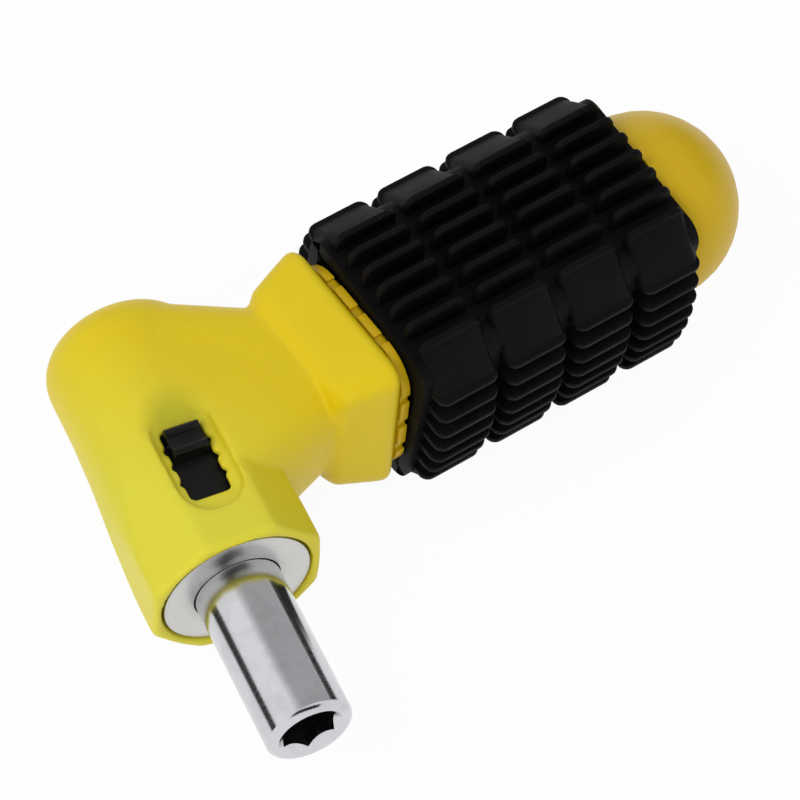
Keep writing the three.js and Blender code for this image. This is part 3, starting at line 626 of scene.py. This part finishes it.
block = bmesh.new()
section = [
    block.verts.new((0, y, z))
    for y, z in ((CORNER_START, CORNER_START), (CORNER_REACH, CORNER_START), (CORNER_START, CORNER_REACH))
]
made = bmesh.ops.extrude_face_region(block, geom=[block.faces.new(section)])["geom"]
bmesh.ops.translate(block, vec=(RING_LENGTH, 0, 0), verts=only_verts(made))
bmesh.ops.recalc_face_normals(block, faces=block.faces)
corner_leg = CORNER_REACH - CORNER_START
ends = [e for e in block.edges if not along(e, 0) and e.calc_length() > SLANT_LEAST * corner_leg]
rounded(block, ends, CORNER_END_ROUND, CORNER_END_SEGMENTS)
rounded(block, sharp_edges(block, CORNER_TURN), CORNER_EDGE, CORNER_EDGE_SEGMENTS)
add_to(bm, block)

bmesh.ops.translate(bm, vec=(SLEEVE_FRONT + RING_START, 0, 0), verts=bm.verts)
side = everything(bm)
for k in range(1, SIDE_COUNT):
    made = bmesh.ops.duplicate(bm, geom=side)["geom"]
    turn = Matrix.Rotation(k * 2 * math.pi / SIDE_COUNT, 3, "X")
    bmesh.ops.rotate(bm, cent=(0, 0, 0), matrix=turn, verts=only_verts(made))
ring = everything(bm)
for k in range(1, RING_COUNT):
    made = bmesh.ops.duplicate(bm, geom=ring)["geom"]
    bmesh.ops.translate(bm, vec=(k * RING_PITCH, 0, 0), verts=only_verts(made))

tube = bmesh.new()
for half, corner in ((SLEEVE_HALF, SLEEVE_CORNER), (SLEEVE_INNER, SLEEVE_INNER_CORNER)):
    low = Vector((SLEEVE_FRONT, -half, -half))
    edges = bar(tube, low, Vector((SLEEVE_FRONT + SLEEVE_LENGTH, half, half)))
    rounded(tube, [e for e in edges if along(e, 0)], corner, SLEEVE_SEGMENTS)
caps = [f for f in tube.faces if abs(f.normal.x) > NEARLY_ALL]
bmesh.ops.delete(tube, geom=caps, context="FACES_ONLY")
for end in (SLEEVE_FRONT, SLEEVE_FRONT + SLEEVE_LENGTH):
    rim = [e for e in tube.edges if all(abs(v.co.x - end) < TOUCH for v in e.verts)]
    bmesh.ops.bridge_loops(tube, edges=rim)
bmesh.ops.recalc_face_normals(tube, faces=tube.faces)
add_to(bm, tube)

crossing = Vector((bit_axis.x, holder_low.y + TIP_TO_AXIS, bit_axis.z))
handle_place = Matrix.Translation(crossing) @ Matrix.Rotation(HANDLE_LEAN, 4, "Z")
bmesh.ops.transform(bm, matrix=handle_place @ TWIST, verts=bm.verts)
shaded(bm, GRIP_TURN)
sleeve = as_piece(bm, "grip_rubber")
rubber = plastic(
    "grip rubber", RUBBER_LIGHT, RUBBER_DEEP, grain=3800, mottle=160, rough=(0.48, 0.62),
    bump=0.2, gloss=0.075,
)
dusted(rubber, spacing=1000)
stand_for(sleeve, "grip_sleeve", rubber)

# Studio: a pale floor in a soft white tent, three softboxes that reflections don't see, and the
# camera of the photograph. Cards that only reflections see stand for the darker parts of the room.
CAMERA_PLACE = (-0.154707, -0.254508, 0.437859)
CAMERA_TURN = tuple(math.radians(a) for a in (35.107, -3.583, -24.701))
CAMERA_LENS = 189
CAMERA_NEAR = 0.01
FLOOR_SIZE = 3
FLOOR_WHITE = (0.9, 0.9, 0.9, 1)
FLOOR_ROUGH = 0.9
FLOOR_GLOW = 0.95
TENT_WHITE = (1, 1, 1, 1)
TENT_LIGHT = 0.57
CARD_SHADE = 0.03
PANEL_SHADE = 0.47
PANEL_FADE = (-0.26, -0.08)

view = bpy.data.cameras.new("camera")
view.lens = CAMERA_LENS
view.clip_start = CAMERA_NEAR
camera = bpy.data.objects.new("camera", view)
camera.location = CAMERA_PLACE
camera.rotation_euler = CAMERA_TURN
bpy.context.scene.collection.objects.link(camera)
bpy.context.scene.camera = camera


def in_plain_sight(nodes, links):
    rays = nodes.new("ShaderNodeLightPath")
    seen = rays.outputs["Is Camera Ray"]
    for kind in ("Is Glossy Ray", "Is Transmission Ray"):
        either = nodes.new("ShaderNodeMath")
        either.operation = "MAXIMUM"
        links.new(seen, either.inputs[0])
        links.new(rays.outputs[kind], either.inputs[1])
        seen = either.outputs["Value"]
    return seen


def flat_sheet(name, middle, across, upward):
    bm = bmesh.new()
    bmesh.ops.create_grid(bm, x_segments=1, y_segments=1, size=1)
    across, upward = Vector(across), Vector(upward)
    turn = Matrix((across, upward, across.cross(upward).normalized())).transposed().to_4x4()
    bmesh.ops.transform(bm, matrix=Matrix.Translation(middle) @ turn, verts=bm.verts)
    sheet = as_piece(bm, name)
    material, nodes, links = new_material(name)
    sheet.data.materials.append(material)
    return sheet, nodes, links


_, nodes, links = flat_sheet("floor", (0, 0, 0), (FLOOR_SIZE, 0, 0), (0, FLOOR_SIZE, 0))
shader = nodes["Principled BSDF"]
shader.inputs["Base Color"].default_value = FLOOR_WHITE
shader.inputs["Roughness"].default_value = FLOOR_ROUGH
glow = nodes.new("ShaderNodeEmission")
blend = nodes.new("ShaderNodeMixShader")
links.new(ranged(nodes, links, in_plain_sight(nodes, links), (0, 1), (0, FLOOR_GLOW)), blend.inputs["Fac"])
links.new(shader.outputs["BSDF"], blend.inputs[1])
links.new(glow.outputs["Emission"], blend.inputs[2])
links.new(blend.outputs["Shader"], nodes["Material Output"].inputs["Surface"])


def card(name, middle, across, upward):
    sheet, nodes, links = flat_sheet(name, middle, across, upward)
    sheet.visible_camera = sheet.visible_diffuse = sheet.visible_shadow = False
    glow = nodes.new("ShaderNodeEmission")
    glow.inputs["Strength"].default_value = CARD_SHADE
    links.new(glow.outputs["Emission"], nodes["Material Output"].inputs["Surface"])
    return glow, nodes, links


card("left card", middle=(-0.098, 0.008, 0.012), across=(0.0186, 0.0354, 0), upward=(0, 0, 0.012))
card("camera card", middle=(0.02, -0.422, 0.51), across=(0.40, -0.184, 0), upward=(0.076, 0.165, 0.124))
card("right card", middle=(0.12, 0.066, 0.055), across=(0, 0.06, 0), upward=(0, 0, 0.03))
glow, nodes, links = card(
    "grey panel", middle=(0.025, 0.1755, 0.308), across=(0.285, 0, -0.131), upward=(0, 0.16, 0),
)
split = nodes.new("ShaderNodeSeparateXYZ")
links.new(nodes.new("ShaderNodeTexCoord").outputs["Object"], split.inputs["Vector"])
links.new(ranged(nodes, links, split.outputs["X"], PANEL_FADE, (1, PANEL_SHADE)), glow.inputs["Strength"])

world = bpy.data.worlds.new("tent")
world.use_nodes = True
nodes, links = world.node_tree.nodes, world.node_tree.links
tent = nodes["Background"].inputs
tent["Color"].default_value = TENT_WHITE
links.new(ranged(nodes, links, in_plain_sight(nodes, links), (0, 1), (TENT_LIGHT, 1)), tent["Strength"])
bpy.context.scene.world = world


def softbox(name, place, size, power):
    light = bpy.data.lights.new(name, "AREA")
    light.size = size
    light.energy = power
    lamp = bpy.data.objects.new(name, light)
    lamp.location = place
    lamp.rotation_euler = (-Vector(place)).to_track_quat("-Z", "Y").to_euler()
    lamp.visible_glossy = False
    bpy.context.scene.collection.objects.link(lamp)


softbox("key softbox", place=(-0.40, -0.12, 0.50), size=0.4, power=1.75)
softbox("front softbox", place=(-0.15, -0.55, 0.3), size=0.4, power=0.45)
softbox("right softbox", place=(0.45, -0.35, 0.4), size=0.5, power=0.2)

bpy.context.scene.view_settings.view_transform = "Standard"
